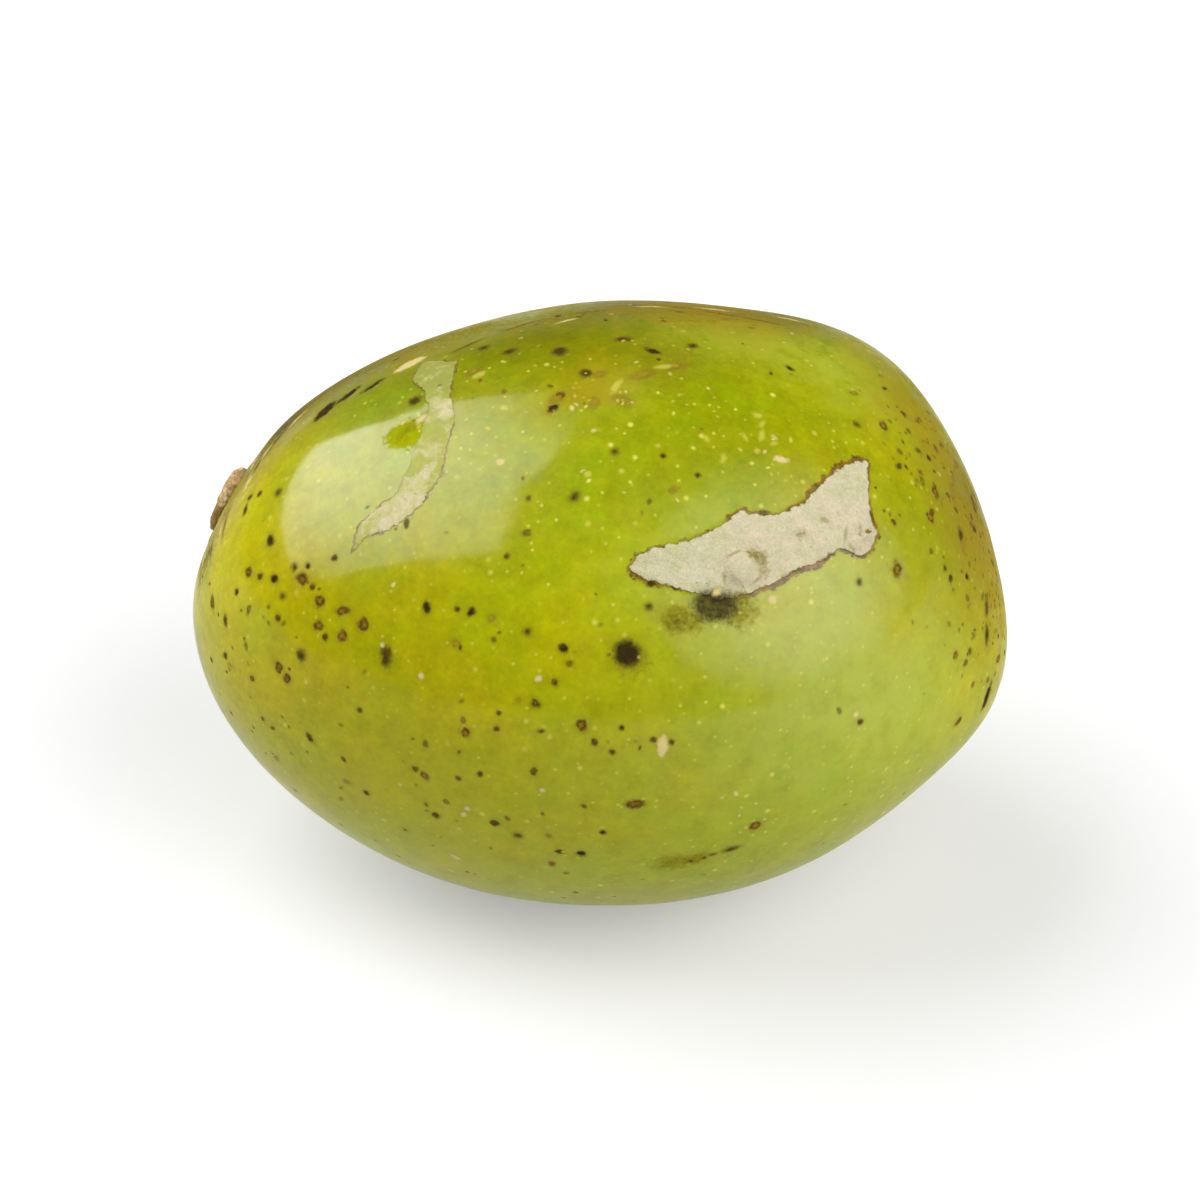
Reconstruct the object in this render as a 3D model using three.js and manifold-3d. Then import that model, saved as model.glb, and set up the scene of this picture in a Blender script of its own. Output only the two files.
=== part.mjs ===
// A june plum, also called ambarella or golden apple: one oblong, lopsided fruit that lies on its side,
// with the corky stump of its broken-off stalk let into a shallow seat at the raised end.
//
// Millimetres, +Z up. The origin is the middle of the small flat spot that the fruit rests on, straight
// under its centre of mass. +X runs along the fruit towards its tip, and the stalk end is at -X.

import * as THREE from "three";
import { mergeVertices } from "three/addons/utils/BufferGeometryUtils.js";
import Module from "manifold-3d";

// The egg that the fruit grows from: half its length, width and height, and how finely it is divided
const EGG_HALF = new THREE.Vector3(36.3, 30.1, 29.2);
const EGG_DIVISIONS = 15;

// Directions out of the egg: the turn from +X, seen from above, and the rise above level, in degrees
const STALK_END = toward(164, 13);
const TIP_END = toward(-15, -12);

// What makes the egg lopsided: each swell stands `height` proud of it, and a higher `focus` is narrower
const SWELLS = [
  { name: "long taper to the stalk", at: toward(174, 2), height: 6.8, focus: 3.6 },
  { name: "hollow around the stalk", at: STALK_END, height: -1.3, focus: 47 },
  { name: "knob at the tip", at: TIP_END, height: 1.9, focus: 19 },
  { name: "shoulder behind the tip", at: toward(36, 38), height: 2.3, focus: 17 },
];

// Five faint lengthwise ridges, one over each cell of the fruit
const RIDGES = 5;
const RIDGE_HEIGHT = 0.18;

// How much of the belly the flat resting spot takes off
const REST_DEPTH = 0.7;

// The stalk's stump: a corky button with a broken, dished end
const STUMP_RADIUS = 3.4;
const STUMP_PROUD = 0.9;
const STUMP_SUNK = 0.7;
const STUMP_DISH = 0.35;
const STUMP_SIDES = 30;

// The gap left all round the stump, between it and its seat
const SEAT_GAP = 0.3;

// The little pit where the flower was
const PIT_RADIUS = 1.7;
const PIT_DEPTH = 0.5;
const PIT_SIDES = 24;

const wasm = await Module();
wasm.setup();

const FINISH = {
  skin: { color: "#9ba41d", roughness: 0.32, metalness: 0 },
  cork: { color: "#8f7440", roughness: 0.9, metalness: 0 },
};

function toward(turn, rise) {
  const level = Math.cos(THREE.MathUtils.degToRad(rise));
  return new THREE.Vector3(
    level * Math.cos(THREE.MathUtils.degToRad(turn)),
    level * Math.sin(THREE.MathUtils.degToRad(turn)),
    Math.sin(THREE.MathUtils.degToRad(rise)),
  );
}

/** How far the ridges lift the skin: they run from the stalk to the tip and die out at both. */
function ridgeLift(direction) {
  const axis = TIP_END.clone().sub(STALK_END).normalize();
  const side = new THREE.Vector3(0, 0, 1).cross(axis).normalize();
  const top = axis.clone().cross(side);
  const bearing = Math.atan2(direction.dot(side), direction.dot(top));
  const belly = 1 - direction.dot(axis) ** 2;
  return RIDGE_HEIGHT * belly * Math.cos(RIDGES * bearing);
}

/** The point of the skin that lies out along a unit direction from the egg's centre. */
function skinPoint(direction) {
  const point = direction.clone().multiply(EGG_HALF);
  const outward = direction.clone().divide(EGG_HALF).normalize();
  let lift = ridgeLift(direction);
  for (const { at, height, focus } of SWELLS) {
    lift += height * Math.exp(focus * (direction.dot(at) - 1));
  }
  return point.addScaledVector(outward, lift);
}

/** The skin's outward normal at a direction, from two short steps across the surface. */
function skinNormal(direction) {
  const step = 0.02;
  const across = new THREE.Vector3(0, 0, 1).cross(direction).normalize();
  const along = direction.clone().cross(across);
  const slope = (way) => {
    const ahead = skinPoint(direction.clone().addScaledVector(way, step).normalize());
    const behind = skinPoint(direction.clone().addScaledVector(way, -step).normalize());
    return ahead.sub(behind);
  };
  return slope(across).cross(slope(along)).normalize();
}

/** The same geometry with only its positions, and each shared corner stored once. */
function closed(geometry) {
  const bare = geometry.clone();
  bare.deleteAttribute("normal");
  bare.deleteAttribute("uv");
  return mergeVertices(bare, 1e-4);
}

function toSolid(geometry) {
  const merged = closed(geometry);
  const vertProperties = new Float32Array(merged.attributes.position.array);
  const triVerts = new Uint32Array(merged.index.array);
  return new wasm.Manifold(new wasm.Mesh({ numProp: 3, vertProperties, triVerts }));
}

function toGeometry(solid) {
  const { vertProperties, triVerts } = solid.getMesh();
  const geometry = new THREE.BufferGeometry();
  geometry.setAttribute("position", new THREE.BufferAttribute(vertProperties, 3));
  geometry.setIndex(new THREE.BufferAttribute(triVerts, 1));
  geometry.computeVertexNormals();
  return geometry;
}

/** The egg with its swells and ridges, before anything is cut from it. */
function skinGeometry() {
  const geometry = closed(new THREE.IcosahedronGeometry(1, EGG_DIVISIONS));
  const { position } = geometry.attributes;
  for (let i = 0; i < position.count; i += 1) {
    const direction = new THREE.Vector3().fromBufferAttribute(position, i).normalize();
    position.setXYZ(i, ...skinPoint(direction).toArray());
  }
  return geometry;
}

/** The centre of mass of a closed geometry, summed over the wedges between its faces and its origin. */
function centreOfMass(geometry) {
  const { position } = geometry.attributes;
  const corner = (i) => new THREE.Vector3().fromBufferAttribute(position, geometry.index.getX(i));
  const moment = new THREE.Vector3();
  let volume = 0;
  for (let i = 0; i < geometry.index.count; i += 3) {
    const [a, b, c] = [corner(i), corner(i + 1), corner(i + 2)];
    const wedge = a.dot(b.clone().cross(c)) / 6;
    moment.addScaledVector(a.add(b).add(c), wedge / 4);
    volume += wedge;
  }
  return moment.divideScalar(volume);
}

/** Turns and moves a lathed piece so that its axis stands on the skin at a direction. */
function standOnSkin(object, direction) {
  object.position.copy(skinPoint(direction));
  object.quaternion.setFromUnitVectors(new THREE.Vector3(0, 1, 0), skinNormal(direction));
  object.updateMatrix();
  return object;
}

/** The stump: straight sides below the skin, a rounded rim above it and a dished, broken end. */
function stumpGeometry() {
  const rim = 0.8 * STUMP_RADIUS;
  const shoulder = 0.55 * STUMP_PROUD;
  const profile = [
    new THREE.Vector2(0, -STUMP_SUNK),
    new THREE.Vector2(0.9 * STUMP_RADIUS, -STUMP_SUNK),
    new THREE.Vector2(STUMP_RADIUS, 0),
    new THREE.Vector2(STUMP_RADIUS, shoulder),
    new THREE.Vector2(0.94 * STUMP_RADIUS, 0.86 * STUMP_PROUD),
    new THREE.Vector2(rim, STUMP_PROUD),
    new THREE.Vector2(0.45 * rim, STUMP_PROUD - 0.7 * STUMP_DISH),
    new THREE.Vector2(0, STUMP_PROUD - STUMP_DISH),
  ];
  return new THREE.LatheGeometry(profile, STUMP_SIDES);
}

/** The seat cut for the stump: a plain cup, wider and deeper than it by the gap. */
function seatGeometry() {
  const radius = STUMP_RADIUS + SEAT_GAP;
  const height = 2 * STUMP_RADIUS;
  const cup = new THREE.CylinderGeometry(radius, radius, height, STUMP_SIDES);
  return cup.translate(0, height / 2 - STUMP_SUNK - SEAT_GAP, 0);
}

/** The pit at the tip: a flattened ball with its middle in the skin. */
function pitGeometry() {
  return new THREE.SphereGeometry(PIT_RADIUS, PIT_SIDES, PIT_SIDES / 2).scale(1, PIT_DEPTH / PIT_RADIUS, 1);
}

/** The fruit itself: the skin's solid with the seat, the pit and the resting spot cut from it. */
function fruitGeometry(skin, restHeight) {
  const seat = seatGeometry().applyMatrix4(standOnSkin(new THREE.Object3D(), STALK_END).matrix);
  const pit = pitGeometry().applyMatrix4(standOnSkin(new THREE.Object3D(), TIP_END).matrix);
  const slab = 4 * EGG_HALF.x;
  const ground = new THREE.BoxGeometry(slab, slab, slab).translate(0, 0, restHeight - slab / 2);
  const solid = toSolid(skin).subtract(toSolid(seat)).subtract(toSolid(pit)).subtract(toSolid(ground));
  return toGeometry(solid);
}

function pieceOf(name, geometry, finish) {
  const mesh = new THREE.Mesh(geometry, new THREE.MeshStandardMaterial(finish));
  mesh.name = name;
  return mesh;
}

const skin = skinGeometry();
skin.computeBoundingBox();
const restHeight = skin.boundingBox.min.z + REST_DEPTH;
const balance = centreOfMass(skin);

const junePlum = new THREE.Group();
junePlum.name = "june_plum";
junePlum.add(pieceOf("fruit", fruitGeometry(skin, restHeight), FINISH.skin));
junePlum.add(standOnSkin(pieceOf("stalk_stump", stumpGeometry(), FINISH.cork), STALK_END));
junePlum.position.set(-balance.x, -balance.y, -restHeight);

export default junePlum;
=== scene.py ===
"""A june plum (ambarella, golden apple): one lopsided, oblong green fruit lying on its side.

Its pieces are the fruit's skin, with its corky scars, specks and oil dots, and the corky stump of the
broken-off stalk. The stage is a plain pale floor with two soft lamps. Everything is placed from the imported
model, which is loaded first: metres, +Z up, +X towards the fruit's tip.
"""

import math

import bpy
import numpy as np
from bpy.props import FloatProperty, FloatVectorProperty, IntProperty, PointerProperty
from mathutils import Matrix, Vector, noise


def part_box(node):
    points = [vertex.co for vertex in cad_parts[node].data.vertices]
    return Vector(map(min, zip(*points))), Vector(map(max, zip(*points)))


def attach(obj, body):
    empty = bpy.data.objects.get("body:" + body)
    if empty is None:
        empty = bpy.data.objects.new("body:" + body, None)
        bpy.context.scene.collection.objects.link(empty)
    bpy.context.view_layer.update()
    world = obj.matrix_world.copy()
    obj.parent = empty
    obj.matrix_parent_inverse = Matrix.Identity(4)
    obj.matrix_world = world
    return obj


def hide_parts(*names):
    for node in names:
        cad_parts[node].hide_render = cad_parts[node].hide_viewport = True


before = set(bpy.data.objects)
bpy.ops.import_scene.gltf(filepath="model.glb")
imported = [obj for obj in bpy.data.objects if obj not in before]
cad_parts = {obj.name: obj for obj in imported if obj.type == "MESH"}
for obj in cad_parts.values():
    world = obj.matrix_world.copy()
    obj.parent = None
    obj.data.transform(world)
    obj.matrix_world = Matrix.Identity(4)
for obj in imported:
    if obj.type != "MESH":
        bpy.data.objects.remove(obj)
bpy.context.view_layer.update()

bl_info = {
    "name": "June plum",
    "version": (1, 0, 0),
    "blender": (4, 5, 0),
    "location": "3D View > Sidebar > June plum",
    "description": "Builds a june plum lying on its side, with its stalk's stump and a plain stage",
    "category": "Object",
}

MM = 0.001
FRUIT_LOW, FRUIT_HIGH = (np.array(corner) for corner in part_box("fruit"))
FRUIT_SIZE = FRUIT_HIGH - FRUIT_LOW
STUMP_LOW, STUMP_HIGH = (np.array(corner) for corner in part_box("stalk_stump"))


def toward(turn, rise):
    """A unit direction out of the fruit: the turn from +X, seen from above, and the rise above level."""
    turn, rise = math.radians(turn), math.radians(rise)
    return np.array([math.cos(rise) * math.cos(turn), math.cos(rise) * math.sin(turn), math.sin(rise)])


# ---------- the fruit's form

# The egg that the fruit grows from, in millimetres, and what makes it lopsided: each swell is a turn and a
# rise, how far it stands proud of the egg in millimetres, and its focus, which is higher on a narrower
# swell.
EGG_HALF = np.array([36.3, 30.1, 29.2])
STALK = (164, 13)
TIP = (-15, -12)
STALK_END = toward(*STALK)
TIP_END = toward(*TIP)
SWELLS = [
    (174, 2, 6.8, 3.6),  # the long taper to the stalk
    (*STALK, -1.3, 47),  # the hollow around the stalk
    (*TIP, 1.9, 19),  # the knob at the tip
    (36, 38, 2.3, 17),  # the shoulder behind the tip
]
RIDGES = 5
RIDGE_HEIGHT = 0.18

# The unevenness of a grown skin: the size of its waves and their height, both in millimetres.
WAVES = [(19, 0.3), (7, 0.06), (2.4, 0.014)]

# ---------- the fruit's markings

# Broad zones of the skin: a turn, a rise, a change and a focus. Ripeness runs from 0, green, to 1, yellow.
RIPE_BASE = 0.62
RIPE_ZONES = [
    (-140, 15, 0.25, 6), (-80, 72, -0.45, 5), (-45, 45, 0.2, 15), (-60, 0, -0.45, 8), (-10, 15, 0.45, 6),
    (170, 30, 0.4, 8), (168, 49, -0.7, 60), (-168, 40, -0.3, 30), (-155, 83, 0.4, 60),
    (-132, 57, -0.1, 14), (-26, 39, -0.2, 30), (90, 10, -0.35, 3), (150, -40, -0.3, 5),
]
# Tone zones scale the skin's colour. They are painted light where they brighten it, and painted shade where
# they darken the top and back-left edges, which is partly dark crust there.
PAINTED_LIGHT_AND_SHADE_ZONES = [
    (-177, 21, 0.34, 30), (-165, 8, 0.12, 30), (164, 26, -0.6, 120), (154, 33, -0.6, 80),
    (143, 43, -0.5, 80), (165, 52, -0.15, 60), (135, 68, -0.42, 25), (65, 78, -0.25, 25),
    (82, 60, -0.6, 60), (46, 53, -0.7, 60), (-1, 24, -0.35, 60), (-74, 61, -0.08, 60),
    (10, 84, -0.12, 100), (174, 19, -0.3, 300), (179, 13, -0.3, 400), (-45, 66, -0.12, 25),
    (-104, 36, 0.12, 12), (-110, 60, -0.05, 20), (-97, 49, 0.1, 100), (-140, -15, 0.18, 6),
    (-37, 5, 0.15, 15), (-18, 22, -0.33, 25), (-173, 44, 0.12, 60), (20, 40, -0.25, 60),
]
GLOSS_BASE = 0.08
GLOSS_ZONES = [
    (-174, 42, 0.95, 22), (-155, 27, -0.35, 250), (176, 25, -0.6, 50), (-142, 60, 0.55, 14),
    (-59, 25, 0.7, 8), (60, 10, 0.35, 4), (100, -30, 0.3, 4), (152, 36, -0.4, 30), (130, 62, -0.35, 20),
    (30, 58, -0.3, 12), (-5, 25, -0.35, 12), (-22, 12, -0.15, 20), (-61, 34, -0.22, 60),
    (-140, 76, -0.35, 80), (-150, -20, 0.1, 6),
]
# Bloom zones: a pale waxy bloom that is partly a painted sheen where the front lamp's highlight falls, and
# low on the front a painted reflection of the floor.
BLOOM_AND_SHEEN_ZONES = [
    (-50, -5, 0.4, 7), (-76, 54, 0.45, 70), (-95, 46, 0.3, 120), (-55, 22, 0.5, 10), (-120, -25, 0.4, 5),
    (45, 71, 0.5, 60), (22, 59, 0.6, 60), (8, 50, 0.5, 60), (-109, 84, 0.6, 300),
]
RUSSET_ZONES = [
    (80, 35, 0.7, 5), (170, 24, 0.35, 200), (158, 33, 0.45, 150), (144, 47, 0.5, 90), (8, 38, 0.6, 50),
    (-8, 25, 0.4, 40), (-12, 8, 0.55, 25), (-135, 82, 0.55, 150), (60, 62, 0.6, 50), (*STALK, 0.8, 60),
]
# Stains: olive stains round spots and scars, and painted shade: the dark band along the back-left and top
# edges (partly crust) and the ring beside the blister stand for shade.
STAINS_AND_EDGE_SHADE = [
    (-84.5, 37, 1.3, 900), (-86.5, 38, 0.5, 1500), (-74, 37, 0.7, 800), (-65, 45.5, 1, 3500),
    (-66.5, 46.8, 0.8, 4000), (-65.5, 43, 0.8, 4000), (-53.5, 46.6, 0.7, 4000), (-93.5, 30.3, 0.85, 700),
    (-136, 24, 0.5, 1200), (-87, -18, 0.9, 600), (-83, -16.5, 0.8, 900), (-173, 55.5, 0.8, 2000),
    (-170, 52.5, 0.5, 2500), (-73, 39.3, 0.9, 2500), (-72.5, 36.3, 0.75, 900), (-81, 37, 0.5, 1500),
    (166, 27, 0.8, 600), (160, 28.5, 0.9, 300), (153, 32, 1, 150), (143, 41, 1.1, 110),
    (132, 53, 0.9, 110), (110, 66, 0.7, 90), (70, 66, 0.7, 70), (46, 52, 0.7, 70), (15, 82, 0.55, 200),
    (-60, 84, 0.4, 300), (0, 24, 0.8, 120), (164.5, 42, 0.7, 900), (176, 17, 0.4, 400),
    (179, 13, 0.4, 500), (172, 9, 1, 400), (179, 9, 0.6, 900),
]
SOOT = [
    (-78.2, 39.2, 1.7, 900), (-74, 38.8, 0.5, 1500), (-76, 36.8, 0.35, 1500), (-85.5, 36.8, 0.5, 2500),
    (163, 29.5, 0.6, 500), (158, 31.5, 0.45, 500), (168, 24, 0.5, 900), (150, 37, 0.4, 300),
    (174.5, 18, 0.4, 900), (178.5, 12.5, 0.6, 900),
]
DULL_ZONES = [
    (-170.5, 53, 1.2, 1000), (-171.5, 55.5, 0.8, 1000), (-168, 56, 0.6, 1500),
]
CORKY_ZONES = [
    (-52, 48, 0.95, 40), (90, 15, 0.7, 6), (-70, 44.3, 1.2, 650), (-61, 51, 0.6, 500),
    (-39.5, 41.5, 0.8, 400), (-175, 61, 0.8, 500), (-157.5, 55, 0.7, 450), (-151, 48.5, 0.85, 450),
    (-151.5, 42, 0.85, 450),
]

# The fields that the skin's material reads: each one's name, its value between the zones, and its zones.
ZONED_FIELDS = [
    ("ripe", RIPE_BASE, RIPE_ZONES), ("tone", 1, PAINTED_LIGHT_AND_SHADE_ZONES), ("gloss", GLOSS_BASE, GLOSS_ZONES),
    ("bloom_and_sheen", 0, BLOOM_AND_SHEEN_ZONES), ("russet", 0, RUSSET_ZONES), ("stain_and_shade", 0, STAINS_AND_EDGE_SHADE), ("soot", 0, SOOT),
    ("dull", 0, DULL_ZONES), ("corky", 0, CORKY_ZONES),
]

# The outlines of the corky scars. Each corner is a place on the skin in millimetres, x along the fruit
# towards its tip and y up its side, both from the direction given, and how dark the scar's edge is there.
FISH_SCAR = (toward(-66, 46), [
    (-12, -0.7, 0.6), (-11.2, 0.6, 0.4), (-9.5, 1.2, 0.3), (-6, 1.8, 0.4), (-3.1, 3, 0.4), (-1.1, 4.5, 0.8),
    (0.8, 4.1, 0.7), (2.8, 4.1, 0.3), (5.3, 5.1, 0.9), (7.3, 6.8, 0.9), (9.5, 8.6, 1), (12.2, 9.8, 1),
    (13.5, 9.6, 1), (12.9, 6.4, 0.2), (12.8, 3.6, 0.6), (13.3, 2.6, 0.8), (12.5, 0.7, 0.6), (11, 0.1, 0.5),
    (8.9, 0.8, 0.4), (6.8, -0.5, 1), (4.3, -1.2, 1), (2.2, -2.4, 0.9), (-0.4, -3.4, 1), (-3.1, -4.1, 0.7),
    (-5.6, -3.4, 0.1), (-8, -2.6, 0.5), (-10.5, -1.9, 0.8),
])
STRIP_SCAR = (toward(-163, 53), [
    (1.1, 13.2, 0.7), (4.8, 11.4, 0.9), (4.6, 7, 0.8), (4.9, 2.8, 0.4), (4.2, 0.4, 0.7), (3.2, -3.3, 1),
    (0.9, -5.8, 0.5), (-1.3, -7.1, 0.4), (-3.4, -7.5, 0.5), (-5.2, -7.2, 0.4), (-7, -8.2, 1), (-5.9, -6, 0.9),
    (-3.6, -4.8, 0.7), (-1.4, -3.9, 0.4), (0.1, -1.3, 0.1), (1.4, 1.7, 0), (2.4, 4.8, 0.2), (1.6, 8.2, 0.7),
    (0.4, 10.1, 0.3),
])
BLISTER = (toward(-70, 44.3), 1.8, 0.8)
TAIL_FOLDS = (toward(-39.5, 41.3), 2.6, 0.35)

# Ragged patches of cork, each with its turn, its rise, its radius in millimetres, its lean and its length.
PATCHES = [
    (95, 28, 3.2, 20, 2.2), (128, -18, 2.4, 70, 1.8), (40, -8, 2.2, 0, 1.5), (75, 2, 1.6, -30, 2.4),
]

# The marks that stand out, each with its turn, its rise and its radius in millimetres, then, on a long one,
# its lean above the way along the fruit, in degrees, and how many times longer than wide it is. The lines
# are thin dark cracks, and the crusts are red-brown with pale middles.
BLOTCHES = [
    (-162.5, 24, 0.42), (-168.5, 27, 0.45, 90, 1.3), (-132.5, 34, 0.38, 90, 1.4), (-124, 35.5, 0.4),
    (-105.5, 32, 0.45), (-101.5, -13, 0.45), (-167.5, 16.5, 0.27), (10, 64, 0.3, -40, 1.4),
    (51, 84, 0.4, -25, 2), (-144, 75, 0.4, 60, 1.5), (166, 40, 0.75, 35, 2), (162, 43.3, 0.55, 25, 2.4),
    (162.3, 47.5, 0.4, 20, 3), (-24, -6.5, 0.55, 60, 2.4), (-98, -6.5, 0.28), (-95, 17.5, 0.27),
    (-80, 68.5, 0.28), (-89.5, 44, 0.3, 0, 1.4), (-21.5, 19.5, 0.3), (-158, 29.5, 0.28),
]
LINES = [
    (166.3, 30, 0.26, 35, 6), (161, 32.6, 0.26, 32, 6), (170.5, 27, 0.22, 38, 5), (155, 35, 0.24, 30, 5),
    (178.3, 19.5, 0.2, 60, 5), (178.8, 14.5, 0.2, 70, 5), (174.5, 8, 0.26, 70, 3),
    (171, 24.5, 0.18, 45, 4), (85, 62.5, 0.18, 0, 8), (68, 61, 0.2, 0, 9), (55, 60.5, 0.2, -4, 8),
    (100, 66, 0.18, 4, 7), (44, 57, 0.2, -8, 7), (128, 64, 0.2, 15, 6), (145, 60.5, 0.22, 22, 6),
]
BIG_SPOTS = [(-94.2, 31.6, 1.25)]
SMUDGES = [
    (-150.5, 16.3, 0.5), (-136, 23.3, 0.5, 90, 2), (176, 57, 0.6), (147, 78, 0.75), (-168, 83.5, 0.6),
    (94, 81, 0.45, 0, 1.6), (34, 78, 0.45), (148, 64.5, 0.45), (151, 69.5, 0.4, 0, 1.5),
    (-160, 27.7, 0.32), (-158.5, 22.7, 0.28), (-113, 34.5, 0.3), (-101, 70, 0.3),
    (-111, 60, 0.32, 45, 1.4), (-90, 40, 0.26), (-111, -9.5, 0.3), (-47.5, 34.2, 0.28), (-10, 52.7, 0.3),
    (-16, 25.5, 0.45, 90, 1.4), (-19, 10, 0.4, 90, 1.6), (-22, 6, 0.4, 90, 2.2), (-176.5, 31.5, 0.32),
    (-77.5, -15.5, 0.35, 10, 2),
]
RINGS = [
    (-168, 21, 0.48), (-157.5, 27, 0.54, -30, 1.5), (-152, 26, 0.6), (-150, 22.3, 0.52), (-145, 23, 0.58),
    (-142, 26.8, 0.6), (-154, 11.7, 0.52), (-152, 11, 0.52), (-120, 13.8, 0.54), (-101.5, 18.4, 0.54),
    (-109.5, 21.3, 0.46), (-172.5, 11, 0.42, 90, 1.5), (-37.5, 32, 0.54, 90, 1.3),
    (-13, 34.7, 0.46, 90, 1.7), (-4, 48, 0.48, 90, 1.3), (-147, 26.7, 0.42, 0, 1.8), (-20.5, 33.5, 0.46),
    (-32.5, 9.3, 0.36), (-28, 7, 0.36), (-1.5, 22, 0.46, -70, 2.2), (-93, 1, 0.52, 0, 1.6),
    (-74.5, -9, 0.6), (-151.5, 78, 0.52),
]
CREASES = [
    (-70.5, 47.6, 0.16, 25, 5), (-67.5, 47.2, 0.14, -15, 3), (-64.6, 45.2, 0.14, -75, 3),
    (-67, 42.2, 0.12, 40, 4), (-74.5, 43, 0.12, 90, 3), (-45.8, 46.7, 0.28, -20, 1.5),
    (-43.5, 42.8, 0.12, 75, 5), (-40.5, 41.5, 0.12, 85, 6), (-38, 41, 0.12, 80, 5),
    (-44.5, 40.3, 0.14, -50, 3),
]
DOTS = [
    (-157.5, 19, 0.34), (-147.5, 21.3, 0.34), (-165, 22, 0.36), (-154.5, 27.5, 0.3), (-154.5, 33, 0.38),
    (-168, 11, 0.34, 90, 1.8), (-166, 6, 0.34), (-127, 35.5, 0.26), (-124, 29, 0.28), (-106.5, 26, 0.3),
    (-121.5, 46.5, 0.26), (-123.5, 58, 0.24), (-99.5, 15, 0.34), (-96.5, 13, 0.28), (-115, 15.5, 0.28),
    (-117, 5.5, 0.28), (-127.5, 3.3, 0.34), (-137.5, 11.5, 0.26), (-136.5, -7, 0.34), (-114.5, -6.5, 0.4),
    (-105, -13, 0.38), (-124.5, -8, 0.36), (-70.5, 63, 0.28), (-26.5, 25, 0.28), (-56, 9, 0.3),
    (179, 26, 0.3), (180, 28.4, 0.3), (-179, 25, 0.28, 60, 1.9), (-146, 1.5, 0.34, -40, 1.7),
    (-87.5, 14, 0.26), (-90, 15, 0.3), (-84, -18, 0.22), (-82, -17, 0.2), (-80.5, -16, 0.24, 10, 2),
]
FLAKES = [
    (-89, 13.5, 0.5, 90, 2.2), (-66.2, 37.5, 0.4), (-76.5, 41.6, 0.32, 20, 1.4), (-42, 60, 0.34, 0, 2.1),
    (-109, 26.5, 0.27), (-173.5, 57.5, 0.3, 40, 2), (167.8, 25, 0.3, 40, 3), (176, 10, 0.3, 60, 3),
    (60, 58, 0.22, 0, 7), (44, 51, 0.22, -5, 7), (-129, 22.4, 0.3), (-137.3, 25.2, 0.22),
    (-107, 3.4, 0.26), (-120, -6, 0.34), (-119, -3.8, 0.26), (-123.5, -20.5, 0.32, -35, 1.9),
    (154.5, 52.5, 0.75, 15, 2.2), (-139, 61.6, 0.36), (163, 33.5, 0.2, 32, 5), (-57, 11, 0.25),
    (113, 69, 0.16, 20, 6), (-45, -25, 0.45), (168.5, 28.5, 0.2, 35, 4), (178.5, 17.5, 0.2, 65, 4),
    (174, 25.5, 0.28, 45, 3), (78, 63, 0.18, 0, 7),
]
FLECKS = [
    (-30.5, 68, 0.26, 0, 2), (-34, 66.5, 0.2, 50, 2), (-40, 65, 0.28, 80, 2.2), (-44, 66.5, 0.2, 120, 2),
    (-46.5, 63.3, 0.26), (-38, 62.5, 0.18, 30, 2), (-58.5, 65, 0.26, 70, 1.8),
    (-58.5, 69.5, 0.22, -60, 2), (-24, 59, 0.24), (-109.5, 64.7, 0.28), (-97.5, 65.6, 0.24),
    (-105, 55.4, 0.26), (-171, 56.6, 0.2), (-114, 84, 0.35, 60, 2.5), (-0.4, 84.5, 0.32, 10, 3),
    (169.9, 66.9, 0.4, 20, 1.8), (-80.8, 70.6, 0.2),
]
CRUSTS = [
    (-150.8, 77.1, 0.6, 30, 1.5), (-125.9, 79.5, 0.5, 80, 1.6), (-161, 85.4, 0.45, 0, 1.5),
    (-51.6, 86.7, 0.6, 20, 2.2), (-100, 81.5, 0.6, -30, 1.6), (0, 83.6, 0.5, 10, 2.6),
    (166, 66, 0.55, 20, 1.8), (57, 60, 0.4, 0, 6), (50, 55.5, 0.35, -5, 5), (88, 63, 0.35, 5, 6),
    (-139.9, -5.7, 0.4), (-119.9, 35.7, 0.4), (-124.4, 29.3, 0.45), (-112, 22, 0.3), (-8, 30, 0.5, 90, 2),
    (-17, 24, 0.5, 90, 1.6),
]

# How each kind of mark looks: what mark() is given besides its place.
SPOT_LOOKS = [
    (BLOTCHES, dict(softness=0.2, black=0.9)),
    (BIG_SPOTS, dict(softness=0.45, black=1.0)),
    (LINES, dict(softness=0.25, black=0.35, strength=0.8)),
    (SMUDGES, dict(softness=0.36, black=0.7, strength=0.95)),
    (RINGS, dict(softness=0.18, hollow=0.9, black=0.35, strength=0.95)),
    (CREASES, dict(softness=0.14, black=0.0, strength=0.4)),
    (CRUSTS, dict(softness=0.22, hollow=0.8, black=0.0, strength=0.45)),
    (DOTS, dict(softness=0.17, black=0.5, strength=0.92)),
]
FLAKE_LOOKS = [
    (FLAKES, dict(softness=0.17, black=0.1)),
    (FLECKS, dict(softness=0.2, black=0.8, strength=0.45)),
]

# Clusters of small marks: how many, the turn and rise of their middle, their spread, and the share with a
# pale middle.
SPECK_CLUSTERS = [
    (30, -163, 8, 0.2, 0.5), (50, -125, 0, 0.35, 0.2), (16, -110, 55, 0.3, 0.1), (110, -14, 18, 0.2, 0.4),
    (60, -5, 36, 0.14, 0.3), (30, -19, 6, 0.08, 0.3), (60, 100, 60, 0.4, 0.2), (120, 80, 15, 0.7, 0.35),
    (80, 120, -35, 0.5, 0.3), (70, -30, -50, 0.6, 0.3),
]
FLAKE_CLUSTERS = [
    (14, -48, 65, 0.1, 0), (24, -140, 82, 0.13, 0), (24, -100, 60, 0.3, 0), (16, -80, -5, 0.4, 0),
    (110, 90, 10, 0.9, 0),
]
SEED = 7  # of the clusters
SEAT = 1.05  # radius of the stump's seat, in radii of the stump
NOWHERE = 1.0  # metres from the fruit: where a face with no spot has its spot


# ---------- settings


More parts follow.
